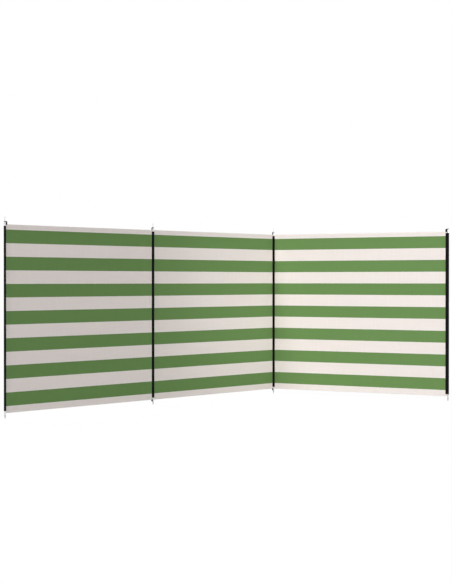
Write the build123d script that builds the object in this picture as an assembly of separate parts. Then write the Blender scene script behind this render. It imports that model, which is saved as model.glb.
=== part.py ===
from build123d import *
import math
import os

os.makedirs("parts", exist_ok=True)

# Screen: three cloth bays between four poles, the third bay turned square to the first two
bay_width = 1785.0
cloth_height = 1400.0
cloth_thickness = 0.5
cloth_above_foot = 20.0
hem_height = 24.0
hem_fold_thickness = 0.6

# Steel tube of each pole
tube_diameter = 15.0
tube_wall = 0.8
tube_above_cloth = 17.5

# Forged foot in the tube's lower end
foot_flange_thickness = 3.0
foot_plug_length = 22.0
spike_diameter = 8.0
spike_straight_length = 9.0
spike_point_length = 15.0
spike_tip_diameter = 1.6

# Plastic cap in the tube's upper end, and the steel pin that stands in it
cap_flange_thickness = 5.0
cap_plug_length = 18.0
cap_edge_radius = 0.8
pin_diameter = 5.0
pin_shank_diameter = 4.6
pin_height = 34.0
pin_collar_height = 2.0
pin_end_radius = 1.6

# Sewn pocket round each pole
sleeve_thickness = 0.4
sleeve_gap = 0.9
sleeve_below_cloth_top = 12.0
sleeve_above_cloth_bottom = 16.0
lap_width = 15.0

# Webbing straps from the cloth's upper corners to an eyelet over each pin
webbing_thickness = 0.7
end_strap_width = 14.0
inner_strap_width = 9.2
strap_offset = 16.5
strap_stitched_length = 18.0
strap_bend_radius = 8.0
twist_steps = 6
bend_steps = 5
eyelet_hole_diameter = 5.5
eyelet_barrel_wall = 0.5
eyelet_flange_diameter = 8.6
eyelet_flange_thickness = 0.5

# Webbing peg loops under the hem beside the two inner poles
loop_diameter = 12.0
loop_width = 7.0
loop_below_cloth = 1.0
loop_tab_width = 8.0
loop_tab_height = 7.0

# Clearances
slip_gap = 0.1
hinge_gap = 0.4

# Derived heights and radii
cloth_bottom = cloth_above_foot
cloth_top = cloth_bottom + cloth_height
tube_top = cloth_top + tube_above_cloth
cap_top = tube_top + cap_flange_thickness
tube_radius = tube_diameter / 2
tube_bore = tube_radius - tube_wall
sleeve_inner_radius = tube_radius + sleeve_gap
sleeve_outer_radius = sleeve_inner_radius + sleeve_thickness
sleeve_bottom = cloth_bottom + sleeve_above_cloth_bottom
sleeve_top = cloth_top - sleeve_below_cloth_top
cloth_edge = sleeve_outer_radius + hinge_gap
cloth_face = cloth_thickness / 2
hem_face = cloth_face + hem_fold_thickness
eyelet_barrel_radius = eyelet_hole_diameter / 2 + eyelet_barrel_wall
strap_hole_radius = eyelet_barrel_radius + slip_gap
leaf_bottom = cap_top + slip_gap
leaf_top = leaf_bottom + webbing_thickness

base = (Align.CENTER, Align.CENTER, Align.MIN)
corner = (Align.MIN, Align.MIN, Align.MIN)

# Each bay's own frame: x along the bay from its left pole, y towards the back, z up
left_bay = Pos(0, -2 * bay_width, 0) * Rot(0, 0, 90)
middle_bay = Pos(0, -bay_width, 0) * Rot(0, 0, 90)
right_bay = Pos(0, 0, 0)
at_left_pole = Pos(0, 0, 0)
at_right_pole = Pos(bay_width, 0, 0)


def cylinder(radius, low, high):
    return Pos(0, 0, low) * Cylinder(radius, high - low, align=base)


def block(x0, x1, y0, y1, z0, z1):
    return Pos(x0, y0, z0) * Box(x1 - x0, y1 - y0, z1 - z0, align=corner)


def panel():
    long_edge = bay_width - cloth_edge
    sheet = block(cloth_edge, long_edge, -cloth_face, cloth_face, cloth_bottom, cloth_top)
    low_hem = block(cloth_edge, long_edge, cloth_face, hem_face, cloth_bottom, cloth_bottom + hem_height)
    top_hem = block(cloth_edge, long_edge, cloth_face, hem_face, cloth_top - hem_height, cloth_top)
    return sheet + low_hem + top_hem


def tube():
    return cylinder(tube_radius, foot_flange_thickness, tube_top) - cylinder(tube_bore, 0, cap_top)


def spike():
    plug_top = foot_flange_thickness + foot_plug_length
    plug = cylinder(tube_bore - slip_gap, 0, plug_top)
    flange = cylinder(tube_radius, 0, foot_flange_thickness)
    straight = cylinder(spike_diameter / 2, -spike_straight_length, 0)
    point_height = -spike_straight_length - spike_point_length
    point = Pos(0, 0, point_height) * Cone(
        spike_tip_diameter / 2, spike_diameter / 2, spike_point_length, align=base
    )
    return plug + flange + straight + point


def cap():
    flange = cylinder(tube_radius, tube_top, cap_top)
    flange = fillet(flange.edges().group_by(Axis.Z)[-1], cap_edge_radius)
    plug = cylinder(tube_bore - slip_gap, tube_top - cap_plug_length, tube_top)
    bore = cylinder(pin_shank_diameter / 2 + slip_gap, tube_top - cap_plug_length, cap_top)
    return flange + plug - bore


def pin():
    shank = cylinder(pin_shank_diameter / 2, tube_top - cap_plug_length, cap_top + pin_collar_height)
    rod = cylinder(pin_diameter / 2, cap_top + pin_collar_height, cap_top + pin_height)
    rod = fillet(rod.edges().group_by(Axis.Z)[-1], pin_end_radius)
    return shank + rod


def sleeve(lap_side, lap_bottom, lap_top):
    ring = cylinder(sleeve_outer_radius, sleeve_bottom, sleeve_top)
    near = lap_side * cloth_face
    far = lap_side * (cloth_face + sleeve_thickness)
    lap = block(
        sleeve_inner_radius, sleeve_outer_radius + lap_width,
        min(near, far), max(near, far), lap_bottom, lap_top,
    )
    return ring + lap - cylinder(sleeve_inner_radius, 0, cloth_top)


def strap_section(width, x, y, z, across, along):
    return Plane(origin=(x, y, z), x_dir=across, z_dir=along) * Rectangle(width, webbing_thickness)


def strap(width, way):
    up = (0, 0, 1)
    square = (0, way, 0)
    half = webbing_thickness / 2
    back = hem_face + half
    leaf_middle = leaf_bottom + half
    bend_start = leaf_middle - strap_bend_radius
    sections = [strap_section(width, strap_offset, back, cloth_top - strap_stitched_length, (1, 0, 0), up)]
    for step in range(twist_steps + 1):
        share = step / twist_steps
        turn = math.radians(90 * share)
        across = (math.cos(turn), way * math.sin(turn), 0)
        height = cloth_top + (bend_start - cloth_top) * share
        sections.append(strap_section(width, strap_offset, back * (1 - share), height, across, up))
    for step in range(1, bend_steps + 1):
        turn = math.radians(90 * step / bend_steps)
        along = (-math.sin(turn), 0, math.cos(turn))
        x = strap_offset - strap_bend_radius * (1 - math.cos(turn))
        z = bend_start + strap_bend_radius * math.sin(turn)
        sections.append(strap_section(width, x, 0, z, square, along))
    sections.append(strap_section(width, -width / 2, 0, leaf_middle, square, (-1, 0, 0)))
    return loft(sections, ruled=True) - cylinder(strap_hole_radius, cap_top, cap_top + pin_height)


def eyelet():
    barrel = cylinder(eyelet_barrel_radius, leaf_bottom, leaf_top)
    flange = cylinder(eyelet_flange_diameter / 2, leaf_top, leaf_top + eyelet_flange_thickness)
    return barrel + flange - cylinder(eyelet_hole_diameter / 2, cap_top, cap_top + pin_height)


def peg_loop():
    outer = loop_diameter / 2
    top = cloth_bottom - loop_below_cloth
    side = -cloth_edge - outer
    middle = Pos(side, 0, top - outer) * Rot(90, 0, 0)
    tab_left = side - loop_tab_width / 2
    tab_right = side + loop_tab_width / 2
    low = top - outer
    high = cloth_bottom + loop_tab_height
    back_tab = block(tab_left, tab_right, hem_face, hem_face + webbing_thickness, low, high)
    front_tab = block(tab_left, tab_right, -cloth_face - webbing_thickness, -cloth_face, low, high)
    ring = middle * Cylinder(outer, loop_width)
    return ring + back_tab + front_tab - middle * Cylinder(outer - webbing_thickness, loop_width)


parts = {
    "panel_left": left_bay * panel(),
    "panel_middle": middle_bay * panel(),
    "panel_right": right_bay * panel(),
}
poles = {
    "left": left_bay * at_left_pole,
    "inner": middle_bay * at_left_pole,
    "corner": middle_bay * at_right_pole,
    "right": right_bay * at_right_pole,
}
for name, place in poles.items():
    parts["tube_" + name] = place * tube()
    parts["spike_" + name] = place * spike()
    parts["cap_" + name] = place * cap()
    parts["pin_" + name] = place * pin()
    parts["eyelet_" + name] = place * eyelet()
parts["peg_loop_inner"] = left_bay * at_right_pole * peg_loop()
parts["peg_loop_corner"] = middle_bay * at_right_pole * peg_loop()
turned_round = Rot(0, 0, 180)
back_lap = (cloth_bottom + hem_height, cloth_top - hem_height)
parts["sleeve_left"] = poles["left"] * sleeve(1, *back_lap)
parts["sleeve_inner"] = poles["inner"] * sleeve(1, *back_lap)
parts["sleeve_corner"] = poles["corner"] * turned_round * sleeve(-1, *back_lap)
parts["sleeve_right"] = poles["right"] * turned_round * sleeve(1, sleeve_bottom, sleeve_top)
mirrored = Plane.YZ
inner_strap = mirror(strap(inner_strap_width, 1), mirrored)
parts["strap_left"] = poles["left"] * strap(end_strap_width, -1)
parts["strap_inner"] = left_bay * at_right_pole * inner_strap
parts["strap_corner"] = middle_bay * at_right_pole * inner_strap
parts["strap_right"] = poles["right"] * mirror(strap(end_strap_width, -1), mirrored)

for name, shape in parts.items():
    export_step(shape, "parts/" + name + ".step")
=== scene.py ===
import math
import bpy
import bmesh
import numpy as np
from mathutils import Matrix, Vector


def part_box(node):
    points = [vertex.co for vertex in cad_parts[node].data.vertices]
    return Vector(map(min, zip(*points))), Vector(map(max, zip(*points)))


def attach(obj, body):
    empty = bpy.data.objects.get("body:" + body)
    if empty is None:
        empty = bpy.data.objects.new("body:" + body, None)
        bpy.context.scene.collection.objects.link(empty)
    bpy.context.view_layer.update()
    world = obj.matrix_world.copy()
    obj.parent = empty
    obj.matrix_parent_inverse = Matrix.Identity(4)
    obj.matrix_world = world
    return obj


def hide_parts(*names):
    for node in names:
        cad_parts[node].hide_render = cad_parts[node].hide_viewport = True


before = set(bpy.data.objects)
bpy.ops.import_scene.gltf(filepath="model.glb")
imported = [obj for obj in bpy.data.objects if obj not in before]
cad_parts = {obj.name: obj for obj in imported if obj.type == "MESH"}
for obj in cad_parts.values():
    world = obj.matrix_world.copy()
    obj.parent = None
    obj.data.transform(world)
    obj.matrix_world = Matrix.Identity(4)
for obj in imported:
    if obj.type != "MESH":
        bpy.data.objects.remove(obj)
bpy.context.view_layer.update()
mm = 0.001
upward = np.array([0, 0, 1.0])

# where the CAD puts the poles, the cloth and the pockets
poleNames = ("left", "inner", "corner", "right")
poleAt = {}
for name in poleNames:
    low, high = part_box("tube_" + name)
    poleAt[name] = np.array([(low.x + high.x) / 2, (low.y + high.y) / 2])
low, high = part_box("panel_middle")
clothBottom, clothTop = low.z, high.z
clothHeight = clothTop - clothBottom
clothEdge = low.y - poleAt["inner"][1]   # from a pole's line to the cloth beside it
bayWidth = float(np.linalg.norm(poleAt["corner"] - poleAt["inner"]))
low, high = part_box("sleeve_inner")
sleeveBottom, sleeveTop = low.z, high.z
sleeveHeight = sleeveTop - sleeveBottom
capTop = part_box("cap_left")[1].z

# each bay: the pole at its left end, the pole at its right end, the body it moves with
bays = {
    "left": ("left", "inner", "left_bay"),
    "middle": ("inner", "corner", "middle_bay"),
    "right": ("corner", "right", "right_bay"),
}
poleBody = {"left": "left_bay", "inner": "middle_bay", "corner": "middle_bay", "right": "right_bay"}


def bayAxes(bay):
    # unit vector along the bay from its left pole, and the one towards its back face, a quarter turn on
    start, end = bays[bay][:2]
    along = (poleAt[end] - poleAt[start]) / np.linalg.norm(poleAt[end] - poleAt[start])
    return along, np.array([-along[1], along[0]])


def inSpace(direction):
    # level direction as a vector in space
    return np.append(direction, 0)


def placed(origin, along, across, x, n, z):
    # world point = origin + x times along + n times across, at height z
    x, n, z = np.broadcast_arrays(x, n, z)
    ground = origin + x[..., None] * along + n[..., None] * across
    return np.concatenate([ground, z[..., None]], axis=-1)


def smooth(share):
    # smooth step: 3 s^2 - 2 s^3 between 0 and 1
    share = np.clip(share, 0, 1)
    return share * share * (3 - 2 * share)


def rounded(distance, radius):
    # share of the full thickness near an edge: square root of distance over radius, up to 1
    return np.sqrt(np.clip(distance / radius, 0, 1))


def gridPiece(name, points, material, uv=None, wrapRows=False, wrapCols=False, keep=None, closed=True):
    # quads between neighbouring points of a rows by columns grid; wrapping joins the last line to the first;
    # uv is a pair: shares across the cloth and shares up it
    rows, cols = points.shape[:2]
    number = np.arange(rows * cols).reshape(rows, cols)
    if wrapRows:
        number = np.vstack([number, number[:1]])
    if wrapCols:
        number = np.hstack([number, number[:, :1]])
    corners = [number[:-1, :-1], number[:-1, 1:], number[1:, 1:], number[1:, :-1]]
    quads = np.stack(corners, axis=-1).reshape(-1, 4)
    if keep is not None:
        quads = quads[keep.ravel()]
    mesh = bpy.data.meshes.new(name)
    mesh.from_pydata(points.reshape(-1, 3).tolist(), [], quads.tolist())
    if uv is not None:
        layer = mesh.uv_layers.new(name="cloth")
        shares = np.stack(np.broadcast_arrays(*uv), axis=-1).reshape(-1, 2)
        layer.data.foreach_set("uv", shares[quads.ravel()].astype(np.float32).ravel())
    return finishMesh(name, mesh, material, closed)


def finishMesh(name, mesh, material, closed=True):
    # merges the points that meet, drops loose ones and turns the faces outwards
    work = bmesh.new()
    work.from_mesh(mesh)
    bmesh.ops.remove_doubles(work, verts=work.verts, dist=1e-6)
    loose = [point for point in work.verts if not point.link_faces]
    bmesh.ops.delete(work, geom=loose, context="VERTS")
    if closed:
        bmesh.ops.recalc_face_normals(work, faces=work.faces)
    work.to_mesh(mesh)
    work.free()
    mesh.polygons.foreach_set("use_smooth", np.ones(len(mesh.polygons), dtype=bool))
    mesh.materials.append(material)
    piece = bpy.data.objects.new(name, mesh)
    bpy.context.scene.collection.objects.link(piece)
    return piece


# Stitches: distance from one to the next, and the size of one
stitch = dict(pitch=4.2 * mm, length=3.2 * mm, width=0.8 * mm, height=0.3 * mm)


def stitchPiece(name, centres, along, across, out, material):
    # each stitch is a low boat: two tips, two sides and a raised middle, set along its seam
    long, wide, high = stitch["length"] / 2, stitch["width"] / 2, stitch["height"]
    shape = np.array([
        [-long, 0, 0], [0, -wide, 0], [long, 0, 0], [0, wide, 0], [-long / 2, 0, high], [long / 2, 0, high]])
    axes = np.stack([np.broadcast_to(axis, centres.shape) for axis in (along, across, out)], axis=1)
    points = centres[:, None, :] + np.einsum("kj,njc->nkc", shape, axes)
    sides = np.array([[0, 1, 4], [1, 2, 5], [2, 3, 5], [3, 0, 4], [1, 5, 4], [3, 4, 5], [0, 2, 1], [0, 3, 2]])
    sides = (sides[None] + len(shape) * np.arange(len(centres))[:, None, None]).reshape(-1, 3)
    mesh = bpy.data.meshes.new(name)
    mesh.from_pydata(points.reshape(-1, 3).tolist(), [], sides.tolist())
    return finishMesh(name, mesh, material)


def linearColour(hexText):
    # sRGB hex to linear, with full alpha
    parts = [int(hexText[k:k + 2], 16) / 255 for k in (0, 2, 4)]
    return tuple(p / 12.92 if p <= 0.04045 else ((p + 0.055) / 1.055) ** 2.4 for p in parts) + (1.0,)


def addNode(tree, kind, settings=None, inputs=None):
    # a node with its settings; an input is either a value or another node's output
    node = tree.nodes.new("ShaderNode" + kind)
    for key, value in (settings or {}).items():
        setattr(node, key, value)
    for key, value in (inputs or {}).items():
        if isinstance(value, bpy.types.NodeSocket):
            tree.links.new(value, node.inputs[key])
        else:
            node.inputs[key].default_value = value
    return node


def newMaterial(name):
    material = bpy.data.materials.new(name)
    material.use_nodes = True
    material.node_tree.nodes.clear()
    return material, material.node_tree


# most of a noise lies between these two values, and a wave texture of scale 1 repeats every 0.314 m
noiseLow, noiseHigh = 0.3, 0.7
wavePeriod = 0.314

# Striped canvas: plain-woven, yarn-dyed acrylic, matt, with faint streaks where the yarn runs thicker and
# painted shade in the gaps between threads
canvas = dict(
    cream="F0E7E3", green="6D8F56",
    bottomCream=0.0365, stripe=0.072, stripes=13,   # shares of the cloth's height
    wander=14 * mm, wanderShare=0.0012,
    weftStreak=6 * mm, weftLength=0.30,             # yarn is 0.6 mm thick, drawn ten times as coarse to show
    warpStreak=9 * mm, warpLength=0.22,
    streakTone=(0.97, 1.03), rough=(0.78, 0.92),
    # gapShade: painted shade in the gaps between threads, painted light on their tops
    weave=1.2 * mm, gapShade=(0.916, 1.036),         # twice the real thread spacing
    streakRelief=1.5, relief=0.15 * mm, reliefStrength=0.25,
    shine=0.03, sheen=0.005, sheenRough=0.5,
)


def canvasMaterial():
    spec = canvas
    material, tree = newMaterial("wovenAcrylicCanvas")
    spot = addNode(tree, "TexCoord")
    flat = addNode(tree, "Mapping", inputs={
        "Vector": spot.outputs["UV"], "Scale": (bayWidth, clothHeight, 1)})
    split = addNode(tree, "SeparateXYZ", inputs={0: spot.outputs["UV"]})
    # the edge of a stripe wanders by a thread or two
    wander = addNode(tree, "TexNoise", inputs={
        "Vector": flat.outputs[0], "Scale": 1 / spec["wander"], "Detail": 1.0})
    shift = addNode(tree, "Math", {"operation": "MULTIPLY_ADD"}, {
        0: wander.outputs[0], 1: spec["wanderShare"], 2: -spec["wanderShare"] / 2})
    height = addNode(tree, "Math", {"operation": "ADD"}, {0: split.outputs[1], 1: shift.outputs[0]})
    # stripes counted up from the bottom edge: every second one is green, none outside the count
    count = addNode(tree, "Math", {"operation": "MULTIPLY_ADD"}, {
        0: height.outputs[0], 1: 1 / spec["stripe"], 2: -spec["bottomCream"] / spec["stripe"]})
    half = addNode(tree, "Math", {"operation": "MULTIPLY"}, {0: count.outputs[0], 1: 0.5})
    turn = addNode(tree, "Math", {"operation": "FRACT"}, {0: half.outputs[0]})
    odd = addNode(tree, "Math", {"operation": "LESS_THAN"}, {0: turn.outputs[0], 1: 0.5})
    above = addNode(tree, "Math", {"operation": "GREATER_THAN"}, {0: count.outputs[0], 1: 0.0})
    below = addNode(tree, "Math", {"operation": "LESS_THAN"}, {
        0: count.outputs[0], 1: float(spec["stripes"])})
    inside = addNode(tree, "Math", {"operation": "MULTIPLY"}, {0: above.outputs[0], 1: below.outputs[0]})
    isGreen = addNode(tree, "Math", {"operation": "MULTIPLY"}, {0: odd.outputs[0], 1: inside.outputs[0]})
    dye = addNode(tree, "Mix", {"data_type": "RGBA"}, {
        0: isGreen.outputs[0], 6: linearColour(spec["cream"]), 7: linearColour(spec["green"])})
    # weft streaks run along the bay, warp streaks up it
    weftMap = addNode(tree, "Mapping", inputs={
        "Vector": flat.outputs[0], "Scale": (1 / spec["weftLength"], 1 / spec["weftStreak"], 1)})
    weft = addNode(tree, "TexNoise", inputs={"Vector": weftMap.outputs[0], "Scale": 1.0, "Detail": 2.0})
    warpMap = addNode(tree, "Mapping", inputs={
        "Vector": flat.outputs[0], "Scale": (1 / spec["warpStreak"], 1 / spec["warpLength"], 1)})
    warp = addNode(tree, "TexNoise", inputs={"Vector": warpMap.outputs[0], "Scale": 1.0, "Detail": 2.0})
    both = addNode(tree, "Math", {"operation": "ADD"}, {0: weft.outputs[0], 1: warp.outputs[0]})
    shade = addNode(tree, "MapRange", inputs={
        0: both.outputs[0], 1: 2 * noiseLow, 2: 2 * noiseHigh,
        3: spec["streakTone"][0], 4: spec["streakTone"][1]})
    rough = addNode(tree, "MapRange", inputs={
        0: weft.outputs[0], 1: noiseLow, 2: noiseHigh, 3: spec["rough"][0], 4: spec["rough"][1]})
    # over and under of the two sets of threads
    warpWave = addNode(tree, "TexWave", {"bands_direction": "X"}, {
        "Vector": flat.outputs[0], "Scale": wavePeriod / spec["weave"]})
    weftWave = addNode(tree, "TexWave", {"bands_direction": "Y"}, {
        "Vector": flat.outputs[0], "Scale": wavePeriod / spec["weave"]})
    threads = addNode(tree, "Math", {"operation": "MAXIMUM"}, {
        0: warpWave.outputs[1], 1: weftWave.outputs[1]})
    # painted shade: the gaps between threads are a little darker and the thread tops a little lighter, with
    # the mean kept at 1
    paintedGapShade = addNode(tree, "MapRange", inputs={
        0: threads.outputs[0], 3: spec["gapShade"][0], 4: spec["gapShade"][1]})
    tone = addNode(tree, "Math", {"operation": "MULTIPLY"}, {0: shade.outputs[0], 1: paintedGapShade.outputs[0]})
    colour = addNode(tree, "VectorMath", {"operation": "SCALE"}, {
        0: dye.outputs[2], "Scale": tone.outputs[0]})
    relief = addNode(tree, "Math", {"operation": "MULTIPLY_ADD"}, {
        0: both.outputs[0], 1: spec["streakRelief"], 2: threads.outputs[0]})
    bump = addNode(tree, "Bump", inputs={
        "Height": relief.outputs[0], "Strength": spec["reliefStrength"], "Distance": spec["relief"]})
    shader = addNode(tree, "BsdfPrincipled", inputs={
        "Base Color": colour.outputs[0], "Roughness": rough.outputs[0], "Normal": bump.outputs[0],
        "Specular IOR Level": spec["shine"], "Sheen Weight": spec["sheen"],
        "Sheen Roughness": spec["sheenRough"]})
    addNode(tree, "OutputMaterial", inputs={"Surface": shader.outputs[0]})
    return material


# Black narrow cloth: pocket polyester and polypropylene webbing, ribbed across, matt with a dusty bloom;
# painted shade in the rib valleys and painted light on the crests
blackCloths = {
    "wovenPolyesterPocket": dict(
        dark="080809", light="121213", size=(80 * mm, 1372 * mm),
        rib=1.4 * mm, yarn=1.4 * mm, depth=0.12 * mm),
    "polypropyleneWebbing": dict(
        dark="070708", light="101011", size=(15 * mm, 100 * mm),
        rib=1.6 * mm, yarn=2.5 * mm, depth=0.25 * mm),
}
dusty = dict(
    # ribShade: painted shade in the rib valleys, painted light on the crests
    bloom=30 * mm, ribWaver=0.6, ribShade=(0.8, 1.15), reliefStrength=0.5,
    rough=(0.65, 0.85), shine=0.08, sheen=0.01, sheenRough=0.4,
)
pocketSpan = blackCloths["wovenPolyesterPocket"]["size"][0]     # width of cloth that u from 0 to 1 covers
webbingSpan = blackCloths["polypropyleneWebbing"]["size"][0]


def blackCloth(name):
    spec = blackCloths[name]
    material, tree = newMaterial(name)
    spot = addNode(tree, "TexCoord")
    flat = addNode(tree, "Mapping", inputs={"Vector": spot.outputs["UV"], "Scale": spec["size"] + (1,)})
    rib = addNode(tree, "TexWave", {"bands_direction": "Y"}, {
        "Vector": flat.outputs[0], "Scale": wavePeriod / spec["rib"], "Distortion": dusty["ribWaver"],
        "Detail": 1.0})
    cord = addNode(tree, "TexWave", {"bands_direction": "X"}, {
        "Vector": flat.outputs[0], "Scale": wavePeriod / spec["yarn"]})
    bloom = addNode(tree, "TexNoise", inputs={
        "Vector": spot.outputs["Object"], "Scale": 1 / dusty["bloom"], "Detail": 3.0})
    dye = addNode(tree, "Mix", {"data_type": "RGBA"}, {
        0: bloom.outputs[0], 6: linearColour(spec["dark"]), 7: linearColour(spec["light"])})
    # painted shade and light: the colour is darker in the rib valleys and lighter on their crests
    lift = addNode(tree, "MapRange", inputs={
        0: rib.outputs[1], 3: dusty["ribShade"][0], 4: dusty["ribShade"][1]})
    colour = addNode(tree, "VectorMath", {"operation": "SCALE"}, {
        0: dye.outputs[2], "Scale": lift.outputs[0]})
    relief = addNode(tree, "Math", {"operation": "ADD"}, {0: rib.outputs[1], 1: cord.outputs[1]})
    bump = addNode(tree, "Bump", inputs={
        "Height": relief.outputs[0], "Strength": dusty["reliefStrength"], "Distance": spec["depth"]})
    rough = addNode(tree, "MapRange", inputs={
        0: bloom.outputs[0], 3: dusty["rough"][0], 4: dusty["rough"][1]})
    shader = addNode(tree, "BsdfPrincipled", inputs={
        "Base Color": colour.outputs[0], "Roughness": rough.outputs[0], "Normal": bump.outputs[0],
        "Specular IOR Level": dusty["shine"], "Sheen Weight": dusty["sheen"],
        "Sheen Roughness": dusty["sheenRough"]})
    addNode(tree, "OutputMaterial", inputs={"Surface": shader.outputs[0]})
    return material


# Spun polyester thread: two plies, slight shine
thread = dict(ply=0.6 * mm, tone=(0.85, 1.08), rough=0.55, shine=0.3)


def threadMaterial(name, hexText):
    spec = thread
    material, tree = newMaterial(name)
    spot = addNode(tree, "TexCoord")
    ply = addNode(tree, "TexNoise", inputs={
        "Vector": spot.outputs["Object"], "Scale": 1 / spec["ply"], "Detail": 1.0})
    tone = addNode(tree, "MapRange", inputs={
        0: ply.outputs[0], 1: noiseLow, 2: noiseHigh, 3: spec["tone"][0], 4: spec["tone"][1]})
    colour = addNode(tree, "VectorMath", {"operation": "SCALE"}, {
        0: linearColour(hexText)[:3], "Scale": tone.outputs[0]})
    shader = addNode(tree, "BsdfPrincipled", inputs={
        "Base Color": colour.outputs[0], "Roughness": spec["rough"], "Specular IOR Level": spec["shine"]})
    addNode(tree, "OutputMaterial", inputs={"Surface": shader.outputs[0]})
    return material


# Metals: grain is the mark of the tool that made the surface, cloud the larger change in its plating or scale
metals = {
    # drawn and zinc-plated tube: pale, satin, fine lines along its length
    "zincPlatedTube": dict(
        colour="D3D5D6", dull=0.86, grain=1.2 * mm, length=60 * mm, cloud=22 * mm, rough=(0.26, 0.42)),
    # forged and tumbled foot: darker and rougher than the tube, no direction
    "forgedSteelFoot": dict(
        colour="A9ABAD", dull=0.72, grain=1.5 * mm, length=1.5 * mm, cloud=6 * mm, rough=(0.38, 0.6)),
    # turned pin: bright, fine rings round it
    "turnedSteelPin": dict(
        colour="CED0D2", dull=0.9, grain=4 * mm, length=0.5 * mm, cloud=9 * mm, rough=(0.2, 0.34)),
    # pressed and nickel-plated brass eyelet: smooth and a little warm
    "nickelPlatedEyelet": dict(
        colour="D6D2C8", dull=0.92, grain=0.8 * mm, length=0.8 * mm, cloud=4 * mm, rough=(0.16, 0.3)),
}
toolMark = dict(relief=0.05 * mm, reliefStrength=0.12)


def metalMaterial(name):
    spec = metals[name]
    material, tree = newMaterial(name)
    spot = addNode(tree, "TexCoord")
    lines = addNode(tree, "Mapping", inputs={
        "Vector": spot.outputs["Object"],
        "Scale": (1 / spec["grain"], 1 / spec["grain"], 1 / spec["length"])})
    grain = addNode(tree, "TexNoise", inputs={"Vector": lines.outputs[0], "Scale": 1.0, "Detail": 3.0})
    cloud = addNode(tree, "TexNoise", inputs={
        "Vector": spot.outputs["Object"], "Scale": 1 / spec["cloud"], "Detail": 2.0})
    tone = addNode(tree, "MapRange", inputs={
        0: cloud.outputs[0], 1: noiseLow, 2: noiseHigh, 3: spec["dull"], 4: 1.0})
    colour = addNode(tree, "VectorMath", {"operation": "SCALE"}, {
        0: linearColour(spec["colour"])[:3], "Scale": tone.outputs[0]})
    rough = addNode(tree, "MapRange", inputs={
        0: grain.outputs[0], 1: noiseLow, 2: noiseHigh, 3: spec["rough"][0], 4: spec["rough"][1]})
    bump = addNode(tree, "Bump", inputs={
        "Height": grain.outputs[0], "Strength": toolMark["reliefStrength"], "Distance": toolMark["relief"]})
    shader = addNode(tree, "BsdfPrincipled", inputs={
        "Base Color": colour.outputs[0], "Metallic": 1.0, "Roughness": rough.outputs[0],
        "Normal": bump.outputs[0]})
    addNode(tree, "OutputMaterial", inputs={"Surface": shader.outputs[0]})
    return material


# Polyethylene cap: injection moulded, near black, fine spark texture and a soft shine on the rim
moulded = dict(
    dark="0C0C0D", light="181819", scuff=5 * mm, rough=(0.38, 0.58), shine=0.25,
    spark=0.4 * mm, relief=0.05 * mm, reliefStrength=0.2,
)


def capMaterial():
    spec = moulded
    material, tree = newMaterial("mouldedPolyethylene")
    spot = addNode(tree, "TexCoord")
    spark = addNode(tree, "TexNoise", inputs={
        "Vector": spot.outputs["Object"], "Scale": 1 / spec["spark"], "Detail": 2.0})
    scuff = addNode(tree, "TexNoise", inputs={
        "Vector": spot.outputs["Object"], "Scale": 1 / spec["scuff"], "Detail": 4.0})
    dye = addNode(tree, "Mix", {"data_type": "RGBA"}, {
        0: scuff.outputs[0], 6: linearColour(spec["dark"]), 7: linearColour(spec["light"])})
    rough = addNode(tree, "MapRange", inputs={
        0: scuff.outputs[0], 1: noiseLow, 2: noiseHigh, 3: spec["rough"][0], 4: spec["rough"][1]})
    bump = addNode(tree, "Bump", inputs={
        "Height": spark.outputs[0], "Strength": spec["reliefStrength"], "Distance": spec["relief"]})
    shader = addNode(tree, "BsdfPrincipled", inputs={
        "Base Color": dye.outputs[2], "Roughness": rough.outputs[0], "Normal": bump.outputs[0], "IOR": 1.5,
        "Specular IOR Level": spec["shine"]})
    addNode(tree, "OutputMaterial", inputs={"Surface": shader.outputs[0]})
    return material


stripedCanvas = canvasMaterial()
pocketCloth = blackCloth("wovenPolyesterPocket")
webbing = blackCloth("polypropyleneWebbing")
creamThread = threadMaterial("creamPolyesterThread", "E9E5DC")
blackThread = threadMaterial("blackPolyesterThread", "1A1A1B")
metalFinish = {name: metalMaterial(name) for name in metals}
blackCap = capMaterial()
print("materials made")

# Striped panels, stretched between two poles and hemmed top and bottom
panelCloth = dict(
    thickness=0.5 * mm,
    # grid: rows near an edge and columns near an end in mm, then even steps
    edgeRows=(0, 0.12, 0.35, 0.8, 2, 6, 11, 16, 19.5, 21.5, 23, 23.8, 24.2, 25.5, 29),
    firstRow=36 * mm, rowStep=9 * mm,
    endColumns=(0, 0.15, 0.4, 3, 8), firstColumn=16 * mm, columns=180,
    # folded hem, drawn in along its stitches and puffed between them and the edge
    hemHeight=24 * mm, hemFold=0.6 * mm, foldRound=0.4 * mm, foldHeight=0.8 * mm, endRound=0.4 * mm,
    stitchFromEdge=21.5 * mm, dimpleWidth=1.2 * mm, frontDimple=0.10 * mm, backDimple=0.15 * mm,
    puff=0.15 * mm,
    seamInset=8 * mm, seamOnBack=0.70 * mm, seamOnFront=-0.15 * mm,
    # shape of the stretched cloth
    held=60 * mm,                                                # reach of a pole's hold
    belly=4 * mm, bellyAtHem=0.35,
    fan=1.0 * mm, fanReach=0.17, fanFolds=11,                    # folds that spread from each corner
    ripple=0.8 * mm, rippleLength=0.115, rippleReach=45 * mm,    # waver of the hems
    rippleSwing=1.3, swingLength=0.73,
    band=0.5 * mm, bandHeight=0.26, bandSwing=0.9,               # level waves of the pull from pole to pole
    phases={"left": 0.4, "middle": 2.1, "right": 4.3},
)


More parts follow.
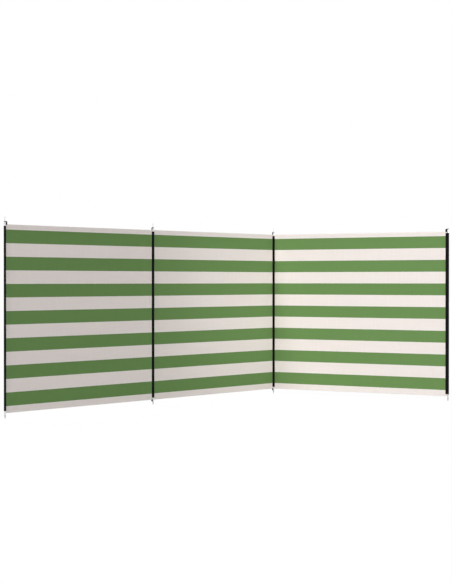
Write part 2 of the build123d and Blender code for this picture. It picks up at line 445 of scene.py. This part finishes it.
def clothRelief(x, up, width, phase):
    # offset to the back = belly, sine along by part-sine up, + fans of sines of the angle round each corner
    # + a sine along each hem that dies away from it + level sine bands, all held at the poles
    spec = panelCloth
    held = np.tanh(x / spec["held"]) * np.tanh((width - x) / spec["held"])
    rise = spec["bellyAtHem"] + (1 - spec["bellyAtHem"]) * np.sin(np.pi * up / clothHeight)
    offset = spec["belly"] * np.sin(np.pi * x / width) * rise
    for dx in (x, width - x):
        for dz in (up, clothHeight - up):
            reach = np.hypot(dx, dz) / spec["fanReach"]
            angle = np.arctan2(dz, dx)
            folds = np.sin(2 * angle) * np.sin(spec["fanFolds"] * angle + phase)
            offset = offset + spec["fan"] * reach * np.exp(1 - reach) * folds
    toHem = np.minimum(up, clothHeight - up)
    swing = spec["rippleSwing"] * np.sin(2 * np.pi * x / spec["swingLength"] + phase)
    waver = np.sin(2 * np.pi * x / spec["rippleLength"] + swing)
    offset = offset + spec["ripple"] * np.exp(-toHem / spec["rippleReach"]) * waver
    swing = spec["bandSwing"] * np.sin(np.pi * x / width + phase)
    bands = np.sin(2 * np.pi * up / spec["bandHeight"] + phase + swing)
    return held * (offset + spec["band"] * bands)


def panelOutline():
    # closed outline seen from the end: up the front face, over the top fold, down the back with its hems;
    # each face is half the thickness out, + the fold on the back, less a bell-shaped dimple at the stitches
    spec = panelCloth
    edge = np.array(spec["edgeRows"]) * mm
    steps = int(clothHeight / spec["rowStep"])
    middle = np.linspace(spec["firstRow"], clothHeight - spec["firstRow"], steps)
    heights = np.concatenate([edge, middle, clothHeight - edge[::-1]])
    toEdge = np.minimum(heights, clothHeight - heights)
    roundOff = spec["foldRound"] * (1 - smooth(toEdge / spec["foldHeight"]))
    dimple = np.exp(-((toEdge - spec["stitchFromEdge"]) / spec["dimpleWidth"]) ** 2)
    puff = spec["puff"] * np.sin(np.pi * np.minimum(toEdge / spec["stitchFromEdge"], 1))
    hem = np.where(toEdge < spec["hemHeight"], spec["hemFold"], 0)
    front = -spec["thickness"] / 2 + roundOff + spec["frontDimple"] * dimple - puff
    back = spec["thickness"] / 2 + hem - roundOff - spec["backDimple"] * dimple + puff
    return np.concatenate([heights, heights[::-1]]), np.concatenate([front, back[::-1]])


# Seam tape: the pocket cloth's turned edge that shows along a bay beside the two inner poles
seamTape = dict(
    thickness=0.35 * mm, rows=160, hemGap=25.5 * mm, endRound=0.3 * mm, lift=0.02 * mm,
    section=(0, 0.04, 0.5, 0.96, 1), halfDepths=(0.1, 0.5, 0.5, 0.5, 0.1),   # shares of width and thickness
    seamInset=6 * mm, seamShare=0.6, threadLift=0.16 * mm,
    # bay, its end, width, faces that show the tape: -1 is the front, 1 the back
    runs=(("left", "inner", 8 * mm, (-1, 1)), ("middle", "inner", 8 * mm, (-1,)),
          ("middle", "corner", 9 * mm, (-1,)), ("right", "corner", 5 * mm, (-1, 1))),
)


def makeTape(bay, pole, wide, face):
    # thin flat strip from the bay's edge inwards: its section drawn up the bay on the cloth's relief
    spec = seamTape
    start, body = bays[bay][0], bays[bay][2]
    along, back = bayAxes(bay)
    width = bayWidth - 2 * clothEdge
    phase = panelCloth["phases"][bay]
    low, high = sleeveBottom, sleeveTop
    if face > 0:
        low, high = clothBottom + spec["hemGap"], clothTop - spec["hemGap"]
    up = np.linspace(low, high, spec["rows"]) - clothBottom
    section, depths = np.array(spec["section"]), np.array(spec["halfDepths"])
    across = np.concatenate([section, section[::-1]]) * wide
    depth = np.concatenate([depths, -depths[::-1]]) * spec["thickness"]
    x = across if start == pole else width - across
    full = rounded(np.minimum(up - up[0], up[-1] - up), spec["endRound"])[:, None]
    middle = face * (panelCloth["thickness"] / 2 + spec["thickness"] / 2 + spec["lift"])
    n = middle + depth * full + clothRelief(x, up[:, None], width, phase)
    points = placed(poleAt[start], along, back, clothEdge + x, n, clothBottom + up[:, None])
    uv = (across / pocketSpan, up[:, None] / clothHeight)
    name = bay + "_" + pole + ("_front" if face < 0 else "_back")
    tape = gridPiece("seam_tape_" + name, points, pocketCloth, uv, wrapCols=True)
    # one row of stitches a little beyond its middle
    seamUp = np.arange(up[0] + spec["seamInset"], up[-1] - spec["seamInset"], stitch["pitch"])
    seamX = x[0] + (1 if start == pole else -1) * spec["seamShare"] * wide
    n = middle + face * spec["threadLift"] + clothRelief(seamX, seamUp, width, phase)
    centres = placed(poleAt[start], along, back, clothEdge + seamX, n, clothBottom + seamUp)
    seam = stitchPiece(
        "tape_stitches_" + name, centres, upward, inSpace(along), face * inSpace(back), blackThread)
    for piece in (tape, seam):
        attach(piece, body)
    return [tape, seam]


def makePanel(bay):
    # the outline drawn along the bay, + the cloth's relief
    spec = panelCloth
    start, end, body = bays[bay]
    along, back = bayAxes(bay)
    phase = spec["phases"][bay]
    low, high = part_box("panel_" + bay)
    width = float(abs(np.dot([high.x - low.x, high.y - low.y], along)))
    edge = (bayWidth - width) / 2
    ends = np.array(spec["endColumns"]) * mm
    columns = np.linspace(spec["firstColumn"], width - spec["firstColumn"], spec["columns"])
    x = np.concatenate([ends, columns, width - ends[::-1]])
    heights, offsets = panelOutline()
    # front and back close on their middle line at both ends
    middle = (offsets + offsets[::-1]) / 2
    full = rounded(np.minimum(x, width - x), spec["endRound"])
    n = middle[:, None] + (offsets - middle)[:, None] * full
    n = n + clothRelief(x, heights[:, None], width, phase)
    points = placed(poleAt[start], along, back, edge + x, n, clothBottom + heights[:, None])
    uv = ((edge + x) / bayWidth, heights[:, None] / clothHeight)
    panel = gridPiece("canvas_" + bay, points, stripedCanvas, uv, wrapRows=True)
    # one row of stitches through each hem, on both faces
    seamX = np.arange(spec["seamInset"], width - spec["seamInset"], stitch["pitch"])
    seamUp = [spec["stitchFromEdge"], clothHeight - spec["stitchFromEdge"]]
    x, up, face = (part.ravel() for part in np.meshgrid(seamX, seamUp, [-1.0, 1.0], indexing="ij"))
    n = np.where(face > 0, spec["seamOnBack"], spec["seamOnFront"]) + clothRelief(x, up, width, phase)
    centres = placed(poleAt[start], along, back, edge + x, n, clothBottom + up)
    out = face[:, None] * inSpace(back)
    seam = stitchPiece("hem_stitches_" + bay, centres, inSpace(along), upward, out, creamThread)
    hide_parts("panel_" + bay)
    for piece in (panel, seam):
        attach(piece, body)
    trim = [seam]
    for tapeBay, pole, wide, faces in seamTape["runs"]:
        if tapeBay == bay:
            for face in faces:
                trim += makeTape(bay, pole, wide, face)


for bay in bays:
    makePanel(bay)
print("striped panels and seam tapes made")

# Pockets round the poles, each with a lap sewn to one face of a bay
pocket = dict(
    thickness=0.4 * mm, middleRadius=8.6 * mm, fillet=1.2 * mm, flatWidth=0.069,
    lapEnd=23.8 * mm, lapOffset=0.45 * mm, lapGap=0.3 * mm, lapTaper=2.5 * mm, lapStub=0.03,
    hemHeight=10 * mm, hemRise=0.12 * mm, hemStep=0.5 * mm, endRound=0.3 * mm,
    # creases: depth, share of it on the lap, height from one to the next, slant round the pole,
    # drift up and down it, share away from the ends, reach of the gather at the ends
    wrinkle=0.16 * mm, lapWrinkle=0.3, pitch=47 * mm, slant=3, drift=2, driftLength=0.31,
    calm=0.35, gatherReach=0.12,
    seamFromPole=21 * mm, seamInset=16 * mm, seamOnLap=0.62 * mm, seamOnCloth=-0.23 * mm,
    # grid: points along the lap, the fillet and the circle, overlap of the circle in radians, rows up in mm
    lapPoints=12, filletPoints=8, roundPoints=64, overlap=0.05,
    edgeRows=(0, 0.1, 0.3, 1.5, 5, 8, 8.5, 9.2, 9.9, 10.4, 11.2, 12, 12.6, 13.3, 14, 15),
    firstRow=18 * mm, rows=150,
    # bay that it is sewn to, way along it, face: 1 is the back, -1 the front
    laps={"left": ("left", 1, 1), "inner": ("middle", 1, 1),
          "corner": ("middle", -1, 1), "right": ("right", -1, -1)},
)


def pocketPath():
    # seen from above: in along the lap, round a small fillet that is tangent to the pole's circle, then once
    # round; gives the points, their outward normals and the number of the point where the circle begins
    spec = pocket
    filletN = spec["lapOffset"] + spec["fillet"]
    filletX = math.sqrt((spec["middleRadius"] + spec["fillet"]) ** 2 - filletN ** 2)
    tangent = math.atan2(filletN, filletX)
    lapX = np.linspace(spec["lapEnd"], filletX, spec["lapPoints"])
    lapN = np.full(spec["lapPoints"], spec["lapOffset"])
    turn = np.linspace(-math.pi / 2, tangent - math.pi, spec["filletPoints"])[1:]
    around = np.linspace(tangent, 2 * math.pi + spec["overlap"], spec["roundPoints"])[1:]
    x = np.concatenate([lapX, filletX + spec["fillet"] * np.cos(turn), spec["middleRadius"] * np.cos(around)])
    n = np.concatenate([lapN, filletN + spec["fillet"] * np.sin(turn), spec["middleRadius"] * np.sin(around)])
    dx, dn = np.gradient(x), np.gradient(n)
    length = np.hypot(dx, dn)
    return x, n, dn / length, -dx / length, len(lapX) + len(turn) - 1


def makePocket(pole):
    # the path seen from above, set off along its normals by half the thickness each way, drawn up the pole
    spec = pocket
    bay, way, face = spec["laps"][pole]
    along, back = bayAxes(bay)
    along, back = way * along, face * back
    x, n, outX, outN, root = pocketPath()
    edge = np.array(spec["edgeRows"]) * mm
    rows = np.linspace(sleeveBottom + spec["firstRow"], sleeveTop - spec["firstRow"], spec["rows"])
    z = np.concatenate([sleeveBottom + edge, rows, sleeveTop - edge[::-1]])
    toEnd = np.minimum(z - sleeveBottom, sleeveTop - z)
    # a lap on the back runs out at both ends, short of the folded hems; on the front it goes all the way
    toHem = np.minimum(z - clothBottom, clothTop - z) - panelCloth["hemHeight"]
    lap = np.ones(len(z))
    if face > 0:
        lap = spec["lapStub"] + (1 - spec["lapStub"]) * smooth((toHem - spec["lapGap"]) / spec["lapTaper"])
    inLap = np.arange(len(x)) < root
    pathX = np.where(inLap, x[root] + (x - x[root]) * lap[:, None], x)
    pathN = np.where(inLap, n[root] + (n - n[root]) * lap[:, None], n)
    # thickness with a folded hem at each end, + creases: a sine up the pole, shifted by a sine round it
    # and by a slow sine up it, deeper near the ends
    slant = spec["slant"] * np.sin(np.arctan2(n, x))
    drift = spec["drift"] * np.sin(2 * np.pi * z[:, None] / spec["driftLength"])
    crease = 0.5 + 0.5 * np.sin(2 * np.pi * z[:, None] / spec["pitch"] + slant + drift)
    gather = spec["calm"] + (1 - spec["calm"]) * np.exp(-toEnd / spec["gatherReach"])
    wrinkle = np.where(inLap, spec["lapWrinkle"], 1.0) * spec["wrinkle"] * crease * gather[:, None]
    rise = spec["hemRise"] * (1 - smooth((toEnd - spec["hemHeight"]) / spec["hemStep"]))
    full = rounded(toEnd, spec["endRound"])[:, None]
    outer = full * (spec["thickness"] / 2 + rise[:, None] + wrinkle)
    inner = -full * spec["thickness"] / 2
    depth = np.concatenate([outer, np.broadcast_to(inner, outer.shape)[:, ::-1]], axis=1)
    loop = np.concatenate([np.arange(len(x)), np.arange(len(x))[::-1]])
    loopX, loopN = pathX[:, loop] + outX[loop] * depth, pathN[:, loop] + outN[loop] * depth
    points = placed(poleAt[pole], along, back, loopX, loopN, z[:, None])
    across = np.cumsum(np.hypot(np.gradient(x), np.gradient(n))) / pocketSpan
    uv = (across[loop], (z[:, None] - sleeveBottom) / sleeveHeight)
    sleeve = gridPiece("pocket_" + pole, points, pocketCloth, uv, wrapCols=True)
    # a row of stitches down the lap, black on the lap and cream on the cloth's other face
    seamZ = np.arange(sleeveBottom + spec["seamInset"], sleeveTop - spec["seamInset"], stitch["pitch"])
    onLap = placed(poleAt[pole], along, back, spec["seamFromPole"], spec["seamOnLap"], seamZ)
    onCloth = placed(poleAt[pole], along, back, spec["seamFromPole"], spec["seamOnCloth"], seamZ)
    side, out = inSpace(along), inSpace(back)
    lapSeam = stitchPiece("lap_stitches_" + pole, onLap, upward, side, out, blackThread)
    clothSeam = stitchPiece("lap_bobbin_stitches_" + pole, onCloth, upward, side, -out, creamThread)
    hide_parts("sleeve_" + pole)
    for piece in (sleeve, lapSeam, clothSeam):
        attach(piece, poleBody[pole])


for pole in poleNames:
    makePocket(pole)
print("pockets made")


def thicken(piece, thickness):
    # webbing is woven through, so it gets an even thickness about its middle
    wall = piece.modifiers.new("thickness", "SOLIDIFY")
    wall.thickness = thickness
    wall.offset = 0
    wall.use_even_offset = True


def outsideHole(points, centre, radius, level):
    # faces to keep: all but those at the leaf's level whose middle lies inside the hole
    middle = (points[:-1, :-1] + points[1:, 1:]) / 2
    away = np.hypot(middle[..., 0] - centre[0], middle[..., 1] - centre[1])
    return (away > radius) | (middle[..., 2] < level)


# Straps: sewn to the back of the hem, turned a quarter on the way up, bent over the cap to the pin
strap = dict(
    thickness=0.7 * mm, back=1.2 * mm, stitched=18 * mm, bend=8 * mm, hole=3.4 * mm, lift=0.1 * mm,
    tipRound=4.1 * mm, tipLeast=0.02, leafDepth=0.2 * mm,
    # fold over the hem at the end poles: it starts inside the strap, at a share of its half turn,
    # and covers a share of the webbing pattern
    tab=4.5 * mm, front=-0.75 * mm, tabStart=0.15, tabPattern=0.2, tabPoles=("left", "right"),
    # box of stitches: distances from the strap's edge and below the cloth's top
    boxInset=1.4 * mm, boxCorner=1.8 * mm, boxRows=(3 * mm, 15 * mm), boxSides=(4.5 * mm, 13.5 * mm),
    sideStitches=4, threadLift=0.33 * mm,
    # grid: points across, rows on the hem, the turn, the bend and the leaf, then those of the fold
    columns=31, sewnRows=10, turnRows=25, bendRows=15, leafRows=34,
    tabColumns=13, tabTurnRows=13, tabLegRows=7,
    # bay that it is sewn to, way along it from the pole, distance from the pole, width,
    # way that it turns, share of the turn that it makes below the bend
    sides={
        "left": ("left", 1, 17 * mm, 15 * mm, -1, 1.0),
        "inner": ("left", -1, 14 * mm, 7.8 * mm, 1, 1.0),
        "corner": ("middle", -1, 15 * mm, 7.8 * mm, 1, 1.0),
        "right": ("right", -1, 16.9 * mm, 15.2 * mm, -1, 0.4),
    },
)


def makeStrap(pole):
    # centre line up the hem, then to the pole's line while the width turns from along the bay to across it,
    # a quarter circle over the cap and a flat leaf
    spec = strap
    bay, way, offset, width, side, below = spec["sides"][pole]
    along, back = bayAxes(bay)
    along = way * along
    leafZ = capTop + spec["lift"] + spec["thickness"] / 2
    bend = spec["bend"]
    bendZ = leafZ - bend
    sewn = np.linspace(0, 1, spec["sewnRows"])[:-1]
    twist = np.linspace(0, 1, spec["turnRows"])
    quarter = np.linspace(0, math.pi / 2, spec["bendRows"])[1:]
    over = np.linspace(0, 1, spec["leafRows"])[1:]
    leafX = (offset - bend) + (-width / 2 - offset + bend) * over
    x = np.concatenate([offset + 0 * sewn, offset + 0 * twist, offset - bend * (1 - np.cos(quarter)), leafX])
    z = np.concatenate([
        clothTop - spec["stitched"] * (1 - sewn), clothTop + (bendZ - clothTop) * twist,
        bendZ + bend * np.sin(quarter), leafZ + 0 * over])
    n = np.concatenate([spec["back"] + 0 * sewn, spec["back"] * (1 - smooth(twist)), 0 * quarter, 0 * over])
    bendTurn = below + (1 - below) * smooth(quarter / (math.pi / 2))
    turn = np.concatenate([0 * sewn, below * smooth(twist), bendTurn, 1 + 0 * over])
    turn = (side * math.pi / 2 * turn)[:, None]
    # the free end is rounded
    pastRound = np.clip((-x - (width / 2 - spec["tipRound"])) / spec["tipRound"], 0, 1)
    tip = np.sqrt(np.clip(1 - pastRound ** 2, spec["tipLeast"], 1))
    span = np.linspace(-width / 2, width / 2, spec["columns"])
    wide = span * tip[:, None]
    bandX, bandN = x[:, None] + wide * np.cos(turn), n[:, None] + wide * np.sin(turn)
    points = placed(poleAt[pole], along, back, bandX, bandN, z[:, None])
    uv = (span / webbingSpan + 0.5, np.linspace(0, 1, len(x))[:, None])
    keep = outsideHole(points, poleAt[pole], spec["hole"], leafZ - spec["leafDepth"])
    band = gridPiece("webbing_strap_" + pole, points, webbing, uv, keep=keep, closed=False)
    thicken(band, spec["thickness"])
    # box of stitches that holds it to the hem: two level rows and two sides
    reach = width / 2 - spec["boxInset"]
    rowReach = reach - spec["boxCorner"]
    rowX = np.linspace(-rowReach, rowReach, max(2, int(2 * reach / stitch["pitch"])))
    sideDown = np.linspace(*spec["boxSides"], spec["sideStitches"])
    rowDown = [np.full(len(rowX), down) for down in spec["boxRows"]]
    boxX = np.concatenate([rowX, rowX, np.full(len(sideDown), -reach), np.full(len(sideDown), reach)])
    boxDown = np.concatenate([*rowDown, sideDown, sideDown])
    inRow = (np.arange(len(boxX)) < 2 * len(rowX))[:, None]
    centres = placed(
        poleAt[pole], along, back, offset + boxX, spec["back"] + spec["threadLift"], clothTop - boxDown)
    line = np.where(inRow, inSpace(along), upward)
    square = np.where(inRow, upward, inSpace(along))
    tack = stitchPiece("strap_stitches_" + pole, centres, line, square, inSpace(back), blackThread)
    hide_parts("strap_" + pole)
    for piece in (band, tack):
        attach(piece, bays[bay][2])


def makeStrapTab(pole):
    # folded strip from inside the strap: nearly half round over the hem's top edge, straight down the front
    spec = strap
    bay, way, offset, width = spec["sides"][pole][:4]
    along, back = bayAxes(bay)
    middle, half = (spec["back"] + spec["front"]) / 2, (spec["back"] - spec["front"]) / 2
    sweep = np.linspace(spec["tabStart"] * math.pi, math.pi, spec["tabTurnRows"])
    leg = np.linspace(0, 1, spec["tabLegRows"])[1:]
    n = np.concatenate([middle + half * np.cos(sweep), spec["front"] + 0 * leg])
    z = clothTop + np.concatenate([half * np.sin(sweep), -spec["tab"] * leg])
    span = np.linspace(-0.5, 0.5, spec["tabColumns"]) * width
    points = placed(poleAt[pole], way * along, back, offset + span, n[:, None], z[:, None])
    uv = (span / webbingSpan + 0.5, np.linspace(0, spec["tabPattern"], len(n))[:, None])
    fold = gridPiece("webbing_fold_" + pole, points, webbing, uv, closed=False)
    thicken(fold, spec["thickness"])
    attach(fold, bays[bay][2])


# Peg loops: a strip sewn to the back of the hem beside the pole, round one open turn under it, up the front
pegLoop = dict(
    width=9 * mm, tabWidth=8.2 * mm, thickness=0.7 * mm, fromPole=13.5 * mm, back=1.2 * mm, front=-0.62 * mm,
    tab=7 * mm, belowCloth=0.9 * mm, halfHeight=6 * mm, halfWidth=6.6 * mm, pinch=1.5, turnLength=1.3,
    columns=13, tabRows=10, turnRows=65,
    tackX=(-2 * mm, 2 * mm), tackUp=(2.2 * mm, 5.2 * mm), threadLift=0.33 * mm,
    sides={"inner": "left", "corner": "middle"},
)


def makePegLoop(pole):
    # drop in the plane of the cloth: sideways sine of the sweep times a power of the sine of half of it,
    # upwards cosine of the sweep; the width turns from along the hem on the tabs to square to the cloth below
    spec = pegLoop
    bay = spec["sides"][pole]
    along, back = bayAxes(bay)
    tab = np.linspace(1, 0, spec["tabRows"])[:-1]
    sweep = np.linspace(0, 2 * math.pi, spec["turnRows"])
    top = clothBottom - spec["belowCloth"]
    rise = spec["tab"] + spec["belowCloth"]
    dropX = spec["halfWidth"] * np.sin(sweep) * np.sin(sweep / 2) ** spec["pinch"]
    dropZ = top - spec["halfHeight"] * (1 - np.cos(sweep))
    x = np.concatenate([0 * tab, dropX, 0 * tab])
    z = np.concatenate([top + rise * tab, dropZ, top + rise * tab[::-1]])
    turnIn, turnOut = smooth(sweep / spec["turnLength"]), smooth((2 * math.pi - sweep) / spec["turnLength"])
    turn = (math.pi / 2 * np.concatenate([0 * tab, turnIn + 1 - turnOut, 2 + 0 * tab]))[:, None]
    dropN = spec["back"] * (1 - turnIn) + spec["front"] * (1 - turnOut)
    n = np.concatenate([spec["back"] + 0 * tab, dropN, spec["front"] + 0 * tab])
    onTab = np.concatenate([1 + 0 * tab, 1 - np.minimum(turnIn, turnOut), 1 + 0 * tab])
    wide = spec["width"] + (spec["tabWidth"] - spec["width"]) * onTab
    span = np.linspace(-0.5, 0.5, spec["columns"]) * wide[:, None]
    stripX = -spec["fromPole"] + x[:, None] + span * np.cos(turn)
    points = placed(poleAt[pole], along, back, stripX, n[:, None] + span * np.sin(turn), z[:, None])
    uv = (span / webbingSpan + 0.5, np.linspace(0, 1, len(x))[:, None])
    loop = gridPiece("webbing_loop_" + pole, points, webbing, uv, closed=False)
    thicken(loop, spec["thickness"])
    # two rows of stitches through both tabs
    grid = np.meshgrid(spec["tackX"], spec["tackUp"], [-1.0, 1.0], indexing="ij")
    tackX, tackUp, face = (part.ravel() for part in grid)
    tackN = np.where(face > 0, spec["back"], spec["front"]) + face * spec["threadLift"]
    centres = placed(poleAt[pole], along, back, -spec["fromPole"] + tackX, tackN, clothBottom + tackUp)
    out = face[:, None] * inSpace(back)
    tack = stitchPiece("loop_stitches_" + pole, centres, inSpace(along), upward, out, blackThread)
    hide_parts("peg_loop_" + pole)
    for piece in (loop, tack):
        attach(piece, bays[bay][2])


for pole in poleNames:
    makeStrap(pole)
for pole in strap["tabPoles"]:
    makeStrapTab(pole)
for pole in pegLoop["sides"]:
    makePegLoop(pole)
print("straps and loops made")

# Eyelets: a rolled rim on the strap with a short barrel down through it
eyelet = dict(
    hole=2.75 * mm, barrel=3.25 * mm, rim=3.85 * mm, leaf=0.8 * mm, dome=0.7 * mm,
    overCap=0.12 * mm, rimLift=0.05 * mm, barrelLift=0.02 * mm, rimPoints=13, turnPoints=48,
)


def makeEyelet(pole):
    # outline of half-round rim and barrel, turned once round the pole's line
    spec = eyelet
    leafTop = capTop + spec["leaf"]
    foot = capTop + spec["overCap"]
    sweep = np.linspace(math.pi, 0, spec["rimPoints"])
    middle, half = (spec["rim"] + spec["hole"]) / 2, (spec["rim"] - spec["hole"]) / 2
    radius = np.concatenate([[spec["hole"]], middle + half * np.cos(sweep), [spec["barrel"], spec["barrel"]]])
    rim = leafTop + spec["rimLift"] + spec["dome"] * np.sin(sweep)
    z = np.concatenate([[foot], rim, [leafTop + spec["barrelLift"], foot]])
    turn = np.linspace(0, 2 * math.pi, spec["turnPoints"] + 1)[:-1, None]
    east, north = np.eye(2)
    points = placed(poleAt[pole], east, north, radius * np.cos(turn), radius * np.sin(turn), z)
    finish = metalFinish["nickelPlatedEyelet"]
    ring = gridPiece("rolled_eyelet_" + pole, points, finish, wrapRows=True, wrapCols=True)
    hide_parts("eyelet_" + pole)
    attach(ring, bays[strap["sides"][pole][0]][2])


for pole in poleNames:
    makeEyelet(pole)
print("eyelets made")

# rigid CAD parts keep their shape and get their finish
cadFinish = {
    "tube_": metalFinish["zincPlatedTube"], "spike_": metalFinish["forgedSteelFoot"],
    "pin_": metalFinish["turnedSteelPin"], "cap_": blackCap,
}
for pole in poleNames:
    for start, material in cadFinish.items():
        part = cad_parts[start + pole]
        if not part.material_slots:
            part.data.materials.append(material)
        for holder in part.material_slots:
            holder.material = material
print("metal and plastic finished")

# Studio: white all round for the eye, soft lamps for the object
studio = dict(
    ambient=0.25, floorLevel=-0.0245, floorReach=60.0, floorGrey=0.42, floorShadow=0.10, floorGlow=1.07,
    # lamp: strength in shares of full white, direction that it comes from, softness in degrees
    lamps={
        "key": (0.68, (0.04, -0.80, 0.55), 25),
        "fill": (0.34, (0.85, -0.30, 0.45), 35),
        "back": (0.55, (-0.62, 0.62, 0.48), 35),
    },
    # small soft lamps: one lifts the inside of the corner, one the outer end of the right bay
    spots={
        "corner": dict(power=186, at=(5.0, -0.15, 1.5), aim=(0.0, -0.45, 1.0), spread=31, size=0.5),
        "end": dict(power=34, at=(2.0, -4.0, 1.6), aim=(1.6, 0.0, 1.3), spread=40, size=0.5),
    },
)
white = (1, 1, 1, 1)


def seenDirectly(tree):
    # 1 for rays from the eye, a mirror or glass, 0 for those that only gather light
    path = addNode(tree, "LightPath")
    shiny = addNode(tree, "Math", {"operation": "MAXIMUM"}, {
        0: path.outputs["Is Glossy Ray"], 1: path.outputs["Is Transmission Ray"]})
    seen = addNode(tree, "Math", {"operation": "MAXIMUM"}, {
        0: path.outputs["Is Camera Ray"], 1: shiny.outputs[0]})
    return seen.outputs[0]


scene = bpy.context.scene
world = bpy.data.worlds.new("studio")
world.use_nodes = True
scene.world = world
tree = world.node_tree
tree.nodes.clear()
level = addNode(tree, "MapRange", inputs={0: seenDirectly(tree), 3: studio["ambient"], 4: 1.0})
sky = addNode(tree, "Background", inputs={"Color": white, "Strength": level.outputs[0]})
addNode(tree, "OutputWorld", inputs={"Surface": sky.outputs[0]})

floorMaterial, tree = newMaterial("paleFloor")
share = addNode(tree, "Math", {"operation": "MULTIPLY"}, {
    0: seenDirectly(tree), 1: 1 - studio["floorShadow"]})
matt = addNode(tree, "BsdfDiffuse", inputs={"Color": (studio["floorGrey"],) * 3 + (1,)})
glow = addNode(tree, "Emission", inputs={"Color": white, "Strength": studio["floorGlow"]})
mixed = addNode(tree, "MixShader", inputs={0: share.outputs[0], 1: matt.outputs[0], 2: glow.outputs[0]})
addNode(tree, "OutputMaterial", inputs={"Surface": mixed.outputs[0]})
reach = studio["floorReach"] * np.array([-1, 1])
floorPoints = np.stack(np.broadcast_arrays(reach, reach[:, None], studio["floorLevel"]), axis=-1)
floor = gridPiece("floor", floorPoints, floorMaterial, closed=False)


def addLamp(name, kind, source):
    # lamp that shines from the side where source points
    lamp = bpy.data.lights.new(name, kind)
    holder = bpy.data.objects.new(name, lamp)
    x, y, z = source
    holder.rotation_euler = (math.atan2(math.hypot(x, y), z), 0, math.atan2(x, -y))
    scene.collection.objects.link(holder)
    return lamp, holder


for name, (strength, source, softness) in studio["lamps"].items():
    lamp, holder = addLamp(name, "SUN", source)
    lamp.energy = math.pi * strength
    lamp.angle = math.radians(softness)

for name, spec in studio["spots"].items():
    lamp, holder = addLamp(name, "SPOT", np.subtract(spec["at"], spec["aim"]))
    lamp.energy = spec["power"]
    lamp.spot_size = math.radians(spec["spread"])
    lamp.spot_blend = 1.0
    lamp.shadow_soft_size = spec["size"]
    holder.location = spec["at"]

# Camera at the photograph's place: eye height about a metre, almost level; angles in degrees
view = dict(lens=105.73, sensor=36, reach=300, eye=(8.6981, -12.9713, 1.0017), down=0.37635, turn=35.4306)
camera = bpy.data.cameras.new("camera")
camera.lens = view["lens"]
camera.sensor_width = view["sensor"]
camera.clip_end = view["reach"]
eye = bpy.data.objects.new("camera", camera)
eye.location = view["eye"]
eye.rotation_euler = (math.radians(90 - view["down"]), 0, math.radians(view["turn"]))
scene.collection.objects.link(eye)
scene.camera = eye
scene.view_settings.view_transform = "Standard"
print("studio and camera set")
